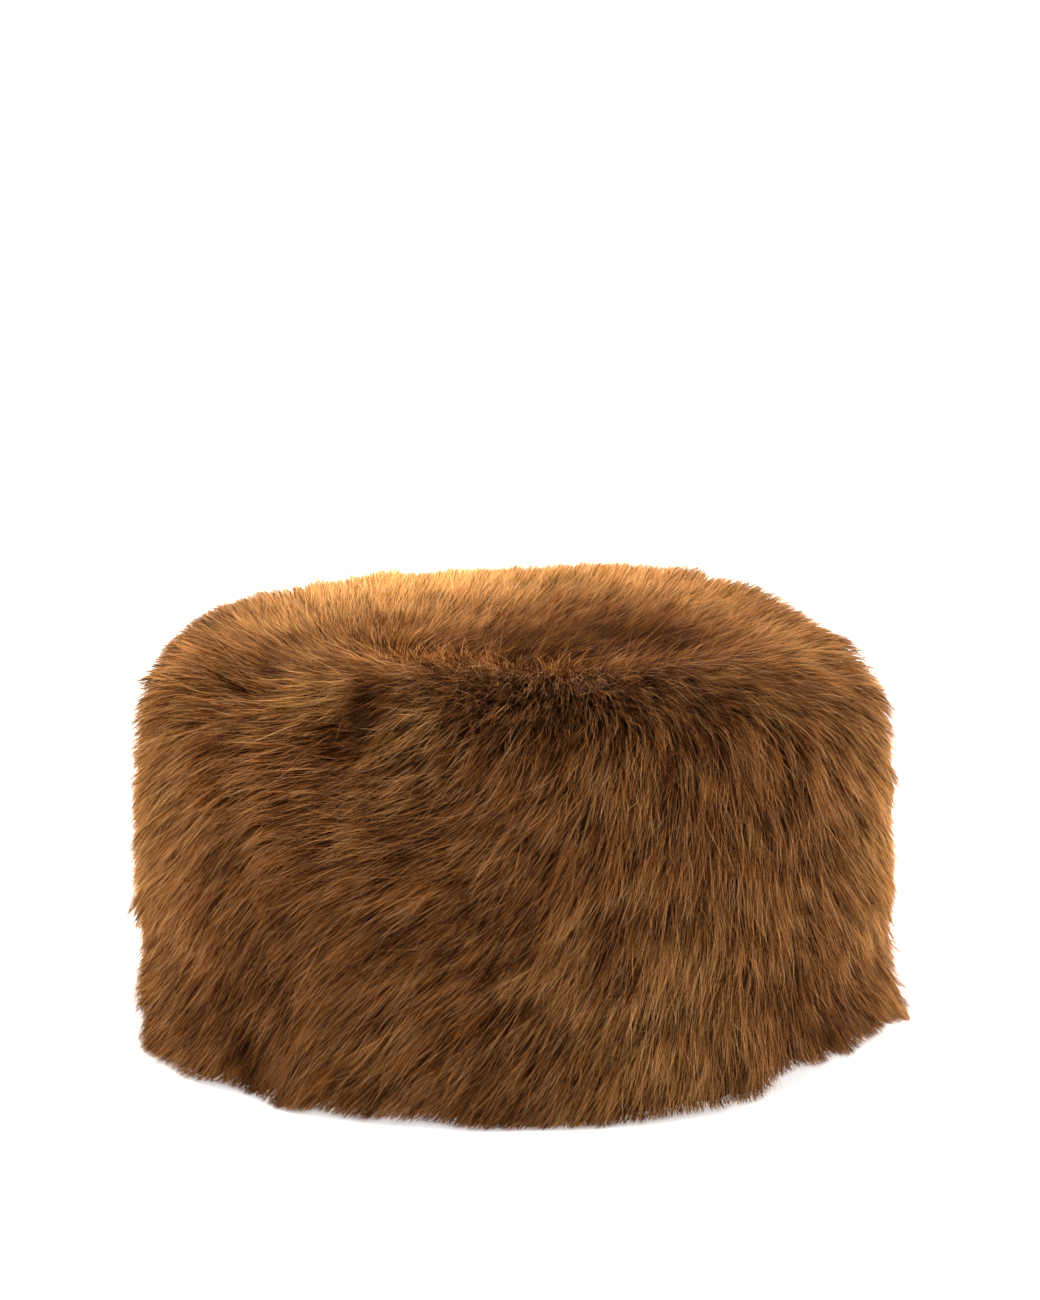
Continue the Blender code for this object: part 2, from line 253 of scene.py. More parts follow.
class FurSettings(bpy.types.PropertyGroup):
    """Sizes and colours of the fur."""

    band_length: distance("Side hair", "Length of the hair on the side", 22 * MM)
    crown_length: distance("Crown hair", "Length of the hair on top", 12.5 * MM)
    depth: distance("Depth", "Depth of loose hair over the wool", 9 * MM)
    width: distance("Strand", "Width of a strand at its root", 0.35 * MM)
    strands: bpy.props.IntProperty(
        name="Strands", description="Strands on the whole hat, before the styles", default=220000
    )
    lock_size: distance("Lock", "Distance between two locks", 12 * MM)
    tuft_size: distance("Tuft", "Distance between two tufts", 4.2 * MM)
    # Painted shade: the root's dark colour stands for the shade deep in the fur
    root_shade_colour: tint("Root", "Hair at its root", "#241006")
    hair_colour: tint("Hair", "Most of the hair", "#865428")
    tip_colour: tint("Tip", "Pale guard hair", "#dfb07e")
    red_colour: tint("Red", "Reddish tufts", "#7a4522")
    # Gold colours random golden patches, and also the painted light on the crown's far half and the
    # hat's ends
    gold_colour: tint("Gold", "Sunlit patches", "#b6894f")


def settings():
    """The hat's settings in this scene."""
    return bpy.context.scene.fur_hat


def oval_ray(angle, row, hem):
    """Start and direction of the ray that finds the fur's outer form, for one column and row."""
    across, along = math.cos(angle), math.sin(angle)
    outward = Vector((across / CORE_LONG, along / CORE_SHORT, 0)).normalized()
    up = Vector((0, 0, 1))
    if row < CROWN_ROWS:
        share = (row + INNER_ROW) / CROWN_SPAN
        start = HAT_MIDDLE + Vector((CORE_LONG * share * across, CORE_SHORT * share * along, 0))
        start.z = CORE_TOP
        return start, up
    start = HAT_MIDDLE + Vector((CORE_LONG * across, CORE_SHORT * along, 0))
    start.z = CORE_TOP
    if row < CROWN_ROWS + CORNER_ROWS:
        turn = math.radians(90) * (row - CROWN_ROWS + 1) / (CORNER_ROWS + 1)
        return start, up * math.cos(turn) + outward * math.sin(turn)
    fallen = (row - CROWN_ROWS - CORNER_ROWS) / (BAND_ROWS - 1)
    start.z = CORE_TOP + fallen * (hem - CORE_TOP)
    return start, outward


def hem_heights(angles):
    """Height of the fur's lower edge at each angle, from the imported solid."""
    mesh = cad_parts["band_fur"].data
    places = np.array([vertex.co for vertex in mesh.vertices])
    local = places - np.array(HAT_MIDDLE)
    reach = np.hypot(local[:, 0] / CORE_LONG, local[:, 1] / CORE_SHORT)
    outer = reach > OUTER_REACH
    turn = np.arctan2(local[outer, 1] / CORE_SHORT, local[outer, 0] / CORE_LONG)
    heights = places[outer, 2]
    lowest = np.full(len(angles), np.nan)
    for i, angle in enumerate(angles):
        apart = np.abs((turn - angle + math.pi) % (2 * math.pi) - math.pi)
        near = heights[apart < HEM_WINDOW]
        if len(near) and near.min() < HEM_HIGHEST:
            lowest[i] = near.min()
    known = ~np.isnan(lowest)
    return np.interp(angles, angles[known], lowest[known], period=2 * math.pi)


def smoothed(values):
    """Averages a grid twice with its neighbours, round the columns and along the rows."""
    for _ in range(2):
        values = (np.roll(values, 1, 0) + 2 * values + np.roll(values, -1, 0)) / 4
        middle = (values[:, :-2] + 2 * values[:, 1:-1] + values[:, 2:]) / 4
        values = np.concatenate([values[:, :1], middle, values[:, -1:]], 1)
    return values


def outer_form():
    """Core points, directions and distances of the fur's outer form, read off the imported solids."""
    trees = []
    for name in ("band_fur", "crown_fur"):
        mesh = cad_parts[name].data
        corners = [vertex.co for vertex in mesh.vertices]
        trees.append(BVHTree.FromPolygons(corners, [tuple(p.vertices) for p in mesh.polygons]))
    angles = np.radians(np.arange(COLUMNS) * 360 / COLUMNS - 180)
    raised = np.array(HEM_RAISE)
    hem = hem_heights(angles) + np.interp(np.degrees(angles), raised[:, 0], raised[:, 1]) * MM
    hem = np.maximum(hem, 0)
    core = np.zeros((COLUMNS, ROWS, 3))
    out = np.zeros((COLUMNS, ROWS, 3))
    far = np.zeros((COLUMNS, ROWS))
    for i, angle in enumerate(angles):
        for row in range(ROWS):
            start, way = oval_ray(angle, row, hem[i])
            hits = [tree.ray_cast(start + way * RAY_REACH, -way, RAY_REACH) for tree in trees]
            reached = [RAY_REACH - hit[3] for hit in hits if hit[0] is not None]
            core[i, row] = start
            out[i, row] = way
            far[i, row] = max(reached) if reached else far[i, row - 1]
    # A lock's ridge, rather than the furrow beside it, is the outer form of the hair
    ridge = np.maximum(far, np.maximum(np.roll(far, 1, 0), np.roll(far, -1, 0)))
    far = smoothed(0.5 * (far + ridge))
    far[:, 0] = far[:, 0].mean()
    return core, out, far


def lean_field(heights):
    """Lean of the hair in radians at each column and row below the crown, from the table."""
    table = np.array(HAIR_LEAN, float)
    degrees = np.arange(COLUMNS) * 360 / COLUMNS - 180
    by_height = np.stack(
        [np.interp(degrees, table[:, 0], table[:, 1 + k]) for k in range(len(LEAN_HEIGHTS))], 1
    )
    lean = np.zeros((COLUMNS, ROWS))
    for i in range(COLUMNS):
        lean[i] = np.interp(heights[i], LEAN_HEIGHTS, by_height[i])
    return np.radians(smoothed(lean))


def patch_fields(ground):
    """How much shorter the hair is, its lift and its painted light and shade, at each column and row.
    """
    shorter = np.zeros((COLUMNS, ROWS))
    lift = np.zeros((COLUMNS, ROWS))
    tone = np.zeros((COLUMNS, ROWS))
    for x, y, z, spread, less, raised, shade in HAIR_PATCHES:
        apart = np.linalg.norm(ground / MM - (x, y, z), axis=2)
        weight = np.exp(-((apart / spread) ** 2))
        shorter += less * weight
        lift += raised * MM * weight
        tone += shade * weight
    return shorter, lift, tone


class HairGround:
    """The wool's surface, on which the hair stands, and the outer form, which its tips reach."""

    def __init__(self):
        given = settings()
        core, out, far = outer_form()
        rows = np.arange(ROWS)
        seam = np.exp(-(((rows - SEAM_ROW) / SEAM_SPREAD) ** 2))
        depth = np.full((COLUMNS, ROWS), given.depth) + seam * SEAM_DEEPER
        depth[:, -len(HEM_SHALLOWER) :] *= HEM_SHALLOWER
        self.core = core
        self.out = out
        self.form = core + out * far[..., None]
        self.shorter, lift, self.tone = patch_fields(self.form)
        self.top = core + out * (far + OUTER_GAIN + lift)[..., None]
        self.wool = core + out * (far - depth)[..., None]
        self.lean = lean_field(self.top[..., 2])
        # Spacing of the grid, in metres a step
        round_step = np.linalg.norm(np.roll(self.wool, -1, 0) - np.roll(self.wool, 1, 0), axis=2) / 2
        self.round_step = np.maximum(round_step, SMALLEST_STEP)
        down = np.linalg.norm(np.diff(self.wool, axis=1), axis=2)
        self.down_step = np.concatenate([down, down[:, -1:]], 1)
        self.length, self.fullness = self.lengths()
        # Hair on the side stands away from the wool more than hair on the crown, which lies flat
        self.fluff = np.interp(rows, (0, CROWN_ROWS, SEAM_ROW + 3), (0.1, 0.1, 0.6))[None, :]

    def lengths(self):
        """Length of the hair at each column and row, and its share of its full length."""
        given = settings()
        rows = np.arange(ROWS)
        crown, band = given.crown_length, given.band_length
        marks = (0, CROWN_ROWS - 2, SEAM_ROW, SEAM_ROW + 3, SEAM_ROW + 9, ROWS - 1)
        sizes = (crown, crown, crown, 0.75 * band, 0.95 * band, band)
        full = np.interp(rows, marks, sizes)[None, :] * (1 - self.shorter)
        # Near the hem the hair ends a little past the wool's edge
        left = np.cumsum(self.down_step[:, ::-1], 1)[:, ::-1] - self.down_step[:, -1:]
        ends = (left + OVERHANG) / np.maximum(np.cos(self.lean), 0.4)
        length = np.minimum(full, ends)
        return length, length / full

    def sample(self, grid, column, row):
        """Value of a grid at fractional columns and rows, and past its last row in a straight line."""
        low_column = np.floor(column).astype(int)
        low_row = np.clip(np.floor(row).astype(int), 0, ROWS - 2)
        part_column, part_row = column - low_column, row - low_row
        if grid.ndim == 3:
            part_column, part_row = part_column[..., None], part_row[..., None]
        here, beside = low_column % COLUMNS, (low_column + 1) % COLUMNS
        upper = grid[here, low_row] * (1 - part_column) + grid[beside, low_row] * part_column
        lower = grid[here, low_row + 1] * (1 - part_column) + grid[beside, low_row + 1] * part_column
        return upper * (1 - part_row) + lower * part_row

    def walk(self, column, row, stride):
        """Where the hair leads to from fractional columns and rows, one stride on."""
        lean = self.sample(self.lean, column, row)
        round_step, down_step = (self.sample(g, column, row) for g in (self.round_step, self.down_step))
        side_column = column - np.sin(lean) * stride / round_step
        side_row = row + np.cos(lean) * stride / down_step
        turn = np.radians(column * 360 / COLUMNS - 180)
        reach = (row + INNER_ROW) / CROWN_SPAN
        place = np.stack([CORE_LONG * reach * np.cos(turn), CORE_SHORT * reach * np.sin(turn)], -1)
        away = place - WHORL
        # The small amount added keeps the whorl's own middle finite
        x, y = np.moveaxis(away / (np.linalg.norm(away, axis=-1, keepdims=True) + 0.1 * MM), -1, 0)
        cosine, sine = math.cos(WHORL_TURN), math.sin(WHORL_TURN)
        turned = np.stack([x * cosine + y * sine, y * cosine - x * sine], -1)
        place = (place + turned * stride[..., None]) / (CORE_LONG, CORE_SHORT)
        top_column = (np.degrees(np.arctan2(place[..., 1], place[..., 0])) + 180) * COLUMNS / 360
        top_row = np.hypot(place[..., 0], place[..., 1]) * CROWN_SPAN - INNER_ROW
        # The crown's way gives over to the side's as it nears the shoulder
        side = np.clip((row - CROWN_ROWS + BLEND_ROWS) / BLEND_ROWS, 0, 1)
        turned_by = (top_column - side_column + COLUMNS / 2) % COLUMNS - COLUMNS / 2
        new_column = side_column + (1 - side) * turned_by
        return new_column, top_row + side * (side_row - top_row)

    def hair_ways(self):
        """Cubic path of the hair that starts at each grid point, as three vector grids."""
        column, row = np.meshgrid(np.arange(COLUMNS), np.arange(ROWS), indexing="ij")
        column, row = column.astype(float), row.astype(float)
        stops = [self.wool]
        for step in range(1, WALK_STEPS + 1):
            column, row = self.walk(column, row, self.length / WALK_STEPS)
            if step == 2 * THIRD:
                # A patch's painted light and shade shows where the hair lies, not where it has its root
                self.tone = patch_fields(self.sample(self.form, column, row))[2]
            if step % THIRD == 0:
                share = step / WALK_STEPS
                rise = share * (2 - share) - self.fluff * share * (1 - share)
                low = self.sample(self.wool, column, row)
                high = self.sample(self.top, column, row)
                stops.append(low + (high - low) * rise[..., None])
        # The one cubic through all four places
        start, first, second, end = stops
        way_1 = (-11 * start + 18 * first - 9 * second + 2 * end) / 2
        way_2 = 9 * (2 * start - 5 * first + 4 * second - end) / 2
        way_3 = 9 * (-start + 3 * first - 3 * second + end) / 2
        return way_1, way_2, way_3


def grid_faces(columns, rows, closed):
    """Quads of a grid of columns, wound so that rows run down a surface seen from outside."""
    faces = []
    for i in range(columns if closed else columns - 1):
        beside = (i + 1) % columns
        for r in range(rows - 1):
            faces.append(
                (i * rows + r, i * rows + r + 1, beside * rows + r + 1, beside * rows + r)
            )
    return faces


def mesh_object(name, places, faces, material=None):
    """Adds a smooth mesh object at the origin."""
    mesh = bpy.data.meshes.new(name)
    mesh.from_pydata([tuple(place) for place in places], [], faces)
    mesh.shade_smooth()
    if material:
        mesh.materials.append(material)
    made = bpy.data.objects.new(name, mesh)
    bpy.context.scene.collection.objects.link(made)
    return made


def new_material(name):
    """A material with nodes, its tree and its shader."""
    made = bpy.data.materials.new(name)
    made.use_nodes = True
    return made, made.node_tree, made.node_tree.nodes["Principled BSDF"]


def suede_material():
    """Sheepskin's flesh side: napped suede, pale tan, with a soft mottle and a fine raised nap."""
    made, tree, shader = new_material("sheepskin_suede")
    place = add(tree, "ShaderNodeTexCoord", output="Object")
    mottle = add(tree, "ShaderNodeTexNoise", {"Vector": place, "Scale": 1 / (14 * MM), "Detail": 4.0})
    # Real nap is about 0.2 mm, too fine to show, so it is drawn at 0.9 mm
    nap = add(tree, "ShaderNodeTexNoise", {"Vector": place, "Scale": 1 / (0.9 * MM), "Detail": 3.0})
    mixed = add(tree, MATH, {0: mottle, 1: 0.65}, operation="MULTIPLY")
    mixed = add(tree, MATH, {0: nap, 1: 0.35, 2: mixed}, operation="MULTIPLY_ADD")
    ramp = tree.nodes.new("ShaderNodeValToRGB")
    for stop, share, code in zip(ramp.color_ramp.elements, (0.35, 0.65), ("#8c6847", "#b8946d")):
        stop.position = share
        stop.color = linear(code)
    tree.links.new(mixed, ramp.inputs["Fac"])
    tree.links.new(ramp.outputs["Color"], shader.inputs["Base Color"])
    bump = add(tree, "ShaderNodeBump", {"Strength": 0.35, "Distance": 0.3 * MM, "Height": nap})
    tree.links.new(bump, shader.inputs["Normal"])
    shader.inputs["Roughness"].default_value = 0.9
    shader.inputs["Sheen Weight"].default_value = 0.25
    shader.inputs["Sheen Roughness"].default_value = 0.4
    return made


def wool_material():
    """Dense under-wool: matt, with painted shade that makes it very dark in the depth of the fur, and
    with fine streaks down its lie.
    """
    made, tree, shader = new_material("sheepskin_under_wool")
    place = add(tree, "ShaderNodeTexCoord", output="Object")
    drawn = add(tree, "ShaderNodeMapping", {"Vector": place, "Scale": (1.0, 1.0, 0.15)})
    # A real crimp is finer, and 1.5 mm lets it show
    streaks = add(tree, "ShaderNodeTexNoise", {"Vector": drawn, "Scale": 1 / (1.5 * MM), "Detail": 3.0})
    ramp = tree.nodes.new("ShaderNodeValToRGB")
    # These near-black browns are painted shade deep in the fur
    for stop, share, code in zip(ramp.color_ramp.elements, (0.35, 0.7), ("#1e0f06", "#44250f")):
        stop.position = share
        stop.color = linear(code)
    tree.links.new(streaks, ramp.inputs["Fac"])
    tree.links.new(ramp.outputs["Color"], shader.inputs["Base Color"])
    bump = add(tree, "ShaderNodeBump", {"Strength": 0.8, "Distance": 1.0 * MM, "Height": streaks})
    tree.links.new(bump, shader.inputs["Normal"])
    shader.inputs["Roughness"].default_value = 0.95
    return made


def hair_material():
    """Sheepskin hair: brown, with painted shade at its root, pale tips, some red tufts, painted light
    and shade by place, and a soft gloss.
    """
    given = settings()
    made, tree, shader = new_material("sheepskin_hair")
    along, strand, tuft, tone = (
        add(tree, "ShaderNodeAttribute", output="Fac", attribute_name=name)
        for name in ("along", "strand_shade", "tuft_shade", "tone")
    )
    place = add(tree, "ShaderNodeTexCoord", output="Object")
    patch = add(tree, "ShaderNodeTexNoise", {"Vector": place, "Scale": 1 / (16 * MM), "Detail": 2.0})
    shares = {}
    for name, value, low, high, first, last in (
        # Every tuft lies between brown and reddish brown, and golden patches cover both
        ("red", tuft, 0.35, 1.0, 0.0, 0.9),
        ("gold", patch, 0.45, 0.75, 0.0, 0.35),
        # One strand in a few is a pale guard hair, palest at its tip
        ("guard", strand, 0.72, 1.0, 0.0, 1.0),
        ("ended", along, 0.3, 1.0, 0.0, 0.9),
        # Painted shade darkens the root, for the shade deep in the fur
        ("shaded_root", along, 0.05, 0.7, 0.9, 0.0),
    ):
        shares[name] = add(
            tree,
            "ShaderNodeMapRange",
            {"Value": value, "From Min": low, "From Max": high, "To Min": first, "To Max": last},
        )
    # Painted light turns the hair golden and lights the pale tips, and painted shade takes both away
    gold = add(tree, MATH, {0: shares["gold"], 1: tone}, operation="ADD", use_clamp=True)
    lit = add(tree, MATH, {0: tone, 1: 1.4, 2: 1.0}, operation="MULTIPLY_ADD")
    pale = add(tree, MATH, {0: shares["guard"], 1: shares["ended"]}, operation="MULTIPLY")
    pale = add(tree, MATH, {0: pale, 1: lit}, operation="MULTIPLY", use_clamp=True)
    # Strands, tufts and patches differ in brightness, and the painted light and shade of a named place
    # darkens or lights all
    bright = add(tree, MATH, {0: strand, 1: 2.5, 2: -0.28}, operation="MULTIPLY_ADD")
    bright = add(tree, MATH, {0: tuft, 1: -0.85, 2: bright}, operation="MULTIPLY_ADD")
    bright = add(tree, MATH, {0: patch, 1: 0.4, 2: bright}, operation="MULTIPLY_ADD")
    bright = add(tree, MATH, {0: bright, 1: 0.12}, operation="MAXIMUM")
    # Painted shade and painted light scale the whole brightness by place
    shade = add(tree, MATH, {0: tone, 1: 0.9, 2: 1.0}, operation="MULTIPLY_ADD")
    shade = add(tree, MATH, {0: shade, 1: 0.1}, operation="MAXIMUM")
    bright = add(tree, MATH, {0: bright, 1: shade}, operation="MULTIPLY")
    colour = tuple(given.hair_colour)
    for share, cover in ((shares["red"], given.red_colour), (gold, given.gold_colour)):
        mix = {"Factor": share, "A": colour, "B": tuple(cover)}
        colour = add(tree, "ShaderNodeMix", mix, data_type="RGBA")
    colour = add(tree, VECTOR_MATH, {0: colour, "Scale": bright}, operation="SCALE")
    for share, cover in ((pale, given.tip_colour), (shares["shaded_root"], given.root_shade_colour)):
        mix = {"Factor": share, "A": colour, "B": tuple(cover)}
        colour = add(tree, "ShaderNodeMix", mix, data_type="RGBA")
    tree.links.new(colour, shader.inputs["Base Color"])
    shader.inputs["Roughness"].default_value = 0.7
    shader.inputs["IOR"].default_value = 1.55
    shader.inputs["Specular IOR Level"].default_value = 0.02
    # Light passes through thin hair, so that an edge against the light glows
    through = add(tree, "ShaderNodeBsdfTranslucent", {"Color": colour})
    mixed = add(tree, "ShaderNodeMixShader", {"Fac": 0.45, 1: shader.outputs["BSDF"], 2: through})
    tree.links.new(mixed, tree.nodes["Material Output"].inputs["Surface"])
    return made


HAIR_INPUTS = {
    "Float": (
        "Density",
        "Lock density",
        "Tuft density",
        "Width",
        "Lock pull",
        "Tuft pull",
        "Lock stray",
        "Tuft stray",
        "Hair stray",
        "Wave",
    ),
    "Int": ("Seed",),
    "Object": ("Strand",),
    "Material": ("Material",),
}
# Strands that would go through the floor lie on it, spread over this depth by their number
LYING_LOW = 0.3 * MM
LYING_DEPTH = 1.6 * MM
LYING_STEP = 0.0137
BAKE_ACROSS = 320  # strands in one row of the bake's cells
BAKE_DOWN = 200  # rows of the bake's cells


def hair_tree():
    """Geometry Nodes: strands spread over a patch, drawn into locks and tufts along their paths."""
    tree = bpy.data.node_groups.new("hair_strands", "GeometryNodeTree")
    tree.interface.new_socket(name="Patch", in_out="INPUT", socket_type="NodeSocketGeometry")
    for kind, names in HAIR_INPUTS.items():
        for name in names:
            tree.interface.new_socket(name=name, in_out="INPUT", socket_type=f"NodeSocket{kind}")
    tree.interface.new_socket(name="Hair", in_out="OUTPUT", socket_type="NodeSocketGeometry")
    given = tree.nodes.new("NodeGroupInput").outputs
    seed = given["Seed"]
    all_ways = {"Min": (-1.0,) * 3, "Max": (1.0,) * 3}

    # Roots of the strands, and of the locks and tufts that gather them. Every lock has a length of its
    # own and every tuft a shade.
    sown = {"Mesh": given["Patch"], "Density": given["Density"], "Seed": seed}
    roots = add(tree, "GeometryNodeDistributePointsOnFaces", sown)
    upright = [s for s in roots.node.outputs if s.name == "Normal"][0]
    place = add(tree, "GeometryNodeInputPosition")
    gathers = []
    own = []
    for name, step, low, high, draw in (("Lock", 101, 0.8, 1.08, 8), ("Tuft", 202, 0.0, 1.0, 7)):
        other = add(tree, MATH, {0: seed, 1: float(step)}, operation="ADD")
        sown = {"Mesh": given["Patch"], "Density": given[f"{name} density"], "Seed": other}
        spread = add(tree, "GeometryNodeDistributePointsOnFaces", sown)
        nearest = add(tree, "GeometryNodeSampleNearest", {0: spread, "Sample Position": place})
        found = {"Geometry": spread, "Value": place, "Index": nearest}
        found = add(tree, "GeometryNodeSampleIndex", found, data_type="FLOAT_VECTOR")
        pull = add(tree, VECTOR_MATH, {0: found, 1: place}, operation="SUBTRACT")
        stray = {**all_ways, "ID": nearest, "Seed": other}
        stray = add(tree, "FunctionNodeRandomValue", stray, data_type="FLOAT_VECTOR")
        pull, stray = (
            add(tree, VECTOR_MATH, {0: way, "Scale": given[f"{name} {kind}"]}, operation="SCALE")
            for kind, way in (("pull", pull), ("stray", stray))
        )
        gathers.append(add(tree, VECTOR_MATH, {0: pull, 1: stray}, operation="ADD"))
        chance = {"Min": low, "Max": high, "ID": nearest, "Seed": draw}
        own.append(add(tree, "FunctionNodeRandomValue", chance))
    lock_length, tuft_shade = own
    loose = add(tree, "FunctionNodeRandomValue", {**all_ways, "Seed": 9}, data_type="FLOAT_VECTOR")
    # Cubing the chance lets a few strands stray far and keeps most of them in place
    chance = add(tree, "FunctionNodeRandomValue", {"Min": 0.35, "Max": 1.25, "Seed": 10})
    chance = add(tree, MATH, {0: chance, 1: 3.0}, operation="POWER")
    # The palest strands are guard hairs: longer, finer and not held by the tufts
    shade = add(tree, "FunctionNodeRandomValue", {"Min": 0.0, "Max": 1.0, "Seed": 12})
    guard = add(tree, "ShaderNodeMapRange", {"Value": shade, "From Min": 0.68, "From Max": 0.8})
    held, freed, longer, finer = (
        add(tree, MATH, {0: guard, 1: change, 2: plain}, operation="MULTIPLY_ADD")
        for change, plain in ((-0.75, 1.0), (1.6, 1.0), (0.12, 1.0), (-0.2, 1.1))
    )
    for times in (chance, given["Hair stray"], freed):
        loose = add(tree, VECTOR_MATH, {0: loose, "Scale": times}, operation="SCALE")
    drift = add(tree, VECTOR_MATH, {0: gathers[0], 1: gathers[1]}, operation="ADD")
    drift = add(tree, VECTOR_MATH, {0: drift, "Scale": held}, operation="SCALE")
    drift = add(tree, VECTOR_MATH, {0: drift, 1: loose}, operation="ADD")
    # Short hair strays less and ends more evenly
    full = add(tree, "GeometryNodeInputNamedAttribute", {"Name": "fullness"}, data_type="FLOAT")
    full = add(tree, MATH, {0: full, 1: 2.0}, operation="POWER")
    drift = add(tree, VECTOR_MATH, {0: drift, "Scale": full}, operation="SCALE")
    reach = add(tree, "FunctionNodeRandomValue", {"Min": 0.7, "Max": 1.04, "Seed": 11})
    for times in (lock_length, longer):
        reach = add(tree, MATH, {0: reach, 1: times}, operation="MULTIPLY")
    reach = add(tree, MATH, {0: reach, 1: 1.0}, operation="SUBTRACT")
    reach = add(tree, MATH, {0: reach, 1: full, 2: 1.0}, operation="MULTIPLY_ADD")
    # Turns in radians: how far the strand's flat side tilts, and where in its wave it starts
    roll = add(tree, "FunctionNodeRandomValue", {"Min": -0.9, "Max": 0.9, "Seed": 13})
    phase = add(tree, "FunctionNodeRandomValue", {"Min": 0.0, "Max": 6.283, "Seed": 14})
    points = roots
    for name, kind, value in (
        ("root", "FLOAT_VECTOR", place),
        ("upright", "FLOAT_VECTOR", upright),
        ("drift", "FLOAT_VECTOR", drift),
        ("reach", "FLOAT", reach),
        ("roll", "FLOAT", roll),
        ("phase", "FLOAT", phase),
        ("thickness", "FLOAT", finer),
        ("strand_shade", "FLOAT", shade),
        ("tuft_shade", "FLOAT", tuft_shade),
        ("strand_number", "INT", add(tree, "GeometryNodeInputIndex")),
    ):
        stored = {"Geometry": points, "Name": name, "Value": value}
        points = add(tree, "GeometryNodeStoreNamedAttribute", stored, data_type=kind, domain="POINT")

    # One flat strand: side runs from -1 to 1 and along from 0 at the root to 1 at the tip
    blade = add(tree, "GeometryNodeObjectInfo", {"Object": given["Strand"]}, output="Geometry")
    parts = add(tree, "ShaderNodeSeparateXYZ", {0: place}).node.outputs
    for name, axis in (("side", "X"), ("along", "Y")):
        stored = {"Geometry": blade, "Name": name, "Value": parts[axis]}
        blade = add(tree, "GeometryNodeStoreNamedAttribute", stored, data_type="FLOAT", domain="POINT")
    hair = add(tree, "GeometryNodeInstanceOnPoints", {"Points": points, "Instance": blade})
    hair = add(tree, "GeometryNodeRealizeInstances", {"Geometry": hair})

    # Every vertex goes to its place on the strand's path: root + t way_1 + t t way_2 + t t t way_3
    read = {}
    for kind, names in (
        ("FLOAT_VECTOR", ("root", "upright", "drift", "way_1", "way_2", "way_3")),
        ("FLOAT", ("reach", "roll", "phase", "thickness", "side", "along")),
        ("INT", ("strand_number",)),
    ):
        for name in names:
            read[name] = add(tree, "GeometryNodeInputNamedAttribute", {"Name": name}, data_type=kind)
    t = add(tree, MATH, {0: read["along"], 1: read["reach"]}, operation="MULTIPLY")
    path = read["way_3"]
    for name in ("way_2", "way_1", "root"):
        path = add(tree, VECTOR_MATH, {0: path, "Scale": t}, operation="SCALE")
        path = add(tree, VECTOR_MATH, {0: path, 1: read[name]}, operation="ADD")
    late = add(tree, MATH, {0: t, 1: 1.5}, operation="POWER")
    drifted = add(tree, VECTOR_MATH, {0: read["drift"], "Scale": late}, operation="SCALE")
    path = add(tree, VECTOR_MATH, {0: path, 1: drifted}, operation="ADD")
    # Its direction: way_1 + 2 t way_2 + 3 t t way_3
    tripled = add(tree, MATH, {0: t, 1: 3.0}, operation="MULTIPLY")
    heading, doubled = (
        add(tree, VECTOR_MATH, {0: read[name], "Scale": times}, operation="SCALE")
        for name, times in (("way_3", tripled), ("way_2", 2.0))
    )
    heading = add(tree, VECTOR_MATH, {0: heading, 1: doubled}, operation="ADD")
    heading = add(tree, VECTOR_MATH, {0: heading, "Scale": t}, operation="SCALE")
    heading = add(tree, VECTOR_MATH, {0: heading, 1: read["way_1"]}, operation="ADD")
    heading = add(tree, VECTOR_MATH, {0: heading}, operation="NORMALIZE")
    level = {0: heading, 1: read["upright"]}
    flat = add(tree, VECTOR_MATH, level, operation="CROSS_PRODUCT")
    flat = add(tree, VECTOR_MATH, {0: flat}, operation="NORMALIZE")
    turned = {"Vector": flat, "Axis": heading, "Angle": read["roll"]}
    across = add(tree, "ShaderNodeVectorRotate", turned, rotation_type="AXIS_ANGLE")
    # A strand waves from side to side, more towards its tip
    swing = add(tree, MATH, {0: t, 1: 7.5, 2: read["phase"]}, operation="MULTIPLY_ADD")
    swing = add(tree, MATH, {0: swing}, operation="SINE")
    for times in (t, given["Wave"]):
        swing = add(tree, MATH, {0: swing, 1: times}, operation="MULTIPLY")
    waved = add(tree, VECTOR_MATH, {0: flat, "Scale": swing}, operation="SCALE")
    path = add(tree, VECTOR_MATH, {0: path, 1: waved}, operation="ADD")
    # It tapers to a narrow tip
    left = add(tree, MATH, {0: 1.0, 1: read["along"]}, operation="SUBTRACT")
    left = add(tree, MATH, {0: left, 1: 0.6}, operation="POWER")
    half = add(tree, MATH, {0: left, 1: 0.45, 2: 0.05}, operation="MULTIPLY_ADD")
    for times in (given["Width"], read["thickness"], read["side"]):
        half = add(tree, MATH, {0: half, 1: times}, operation="MULTIPLY")
    edge = add(tree, VECTOR_MATH, {0: across, "Scale": half}, operation="SCALE")
    path = add(tree, VECTOR_MATH, {0: path, 1: edge}, operation="ADD")
    # It stays over the floor and under the fur's top, at a level of its own
    axes = add(tree, "ShaderNodeSeparateXYZ", {0: path}).node.outputs
    lying = {0: read["strand_number"], 1: LYING_STEP}
    lying = add(tree, MATH, lying, operation="MULTIPLY")
    lying = {0: add(tree, MATH, {0: lying}, operation="FRACT"), 1: LYING_DEPTH, 2: LYING_LOW}
    lying = add(tree, MATH, lying, operation="MULTIPLY_ADD")
    height = add(tree, MATH, {0: axes["Z"], 1: lying}, operation="MAXIMUM")
    under = add(tree, MATH, {0: HAIR_TOP, 1: lying}, operation="SUBTRACT")
    height = add(tree, MATH, {0: height, 1: under}, operation="MINIMUM")
    path = add(tree, "ShaderNodeCombineXYZ", {"X": axes["X"], "Y": axes["Y"], "Z": height})
    hair = add(tree, "GeometryNodeSetPosition", {"Geometry": hair, "Position": path})

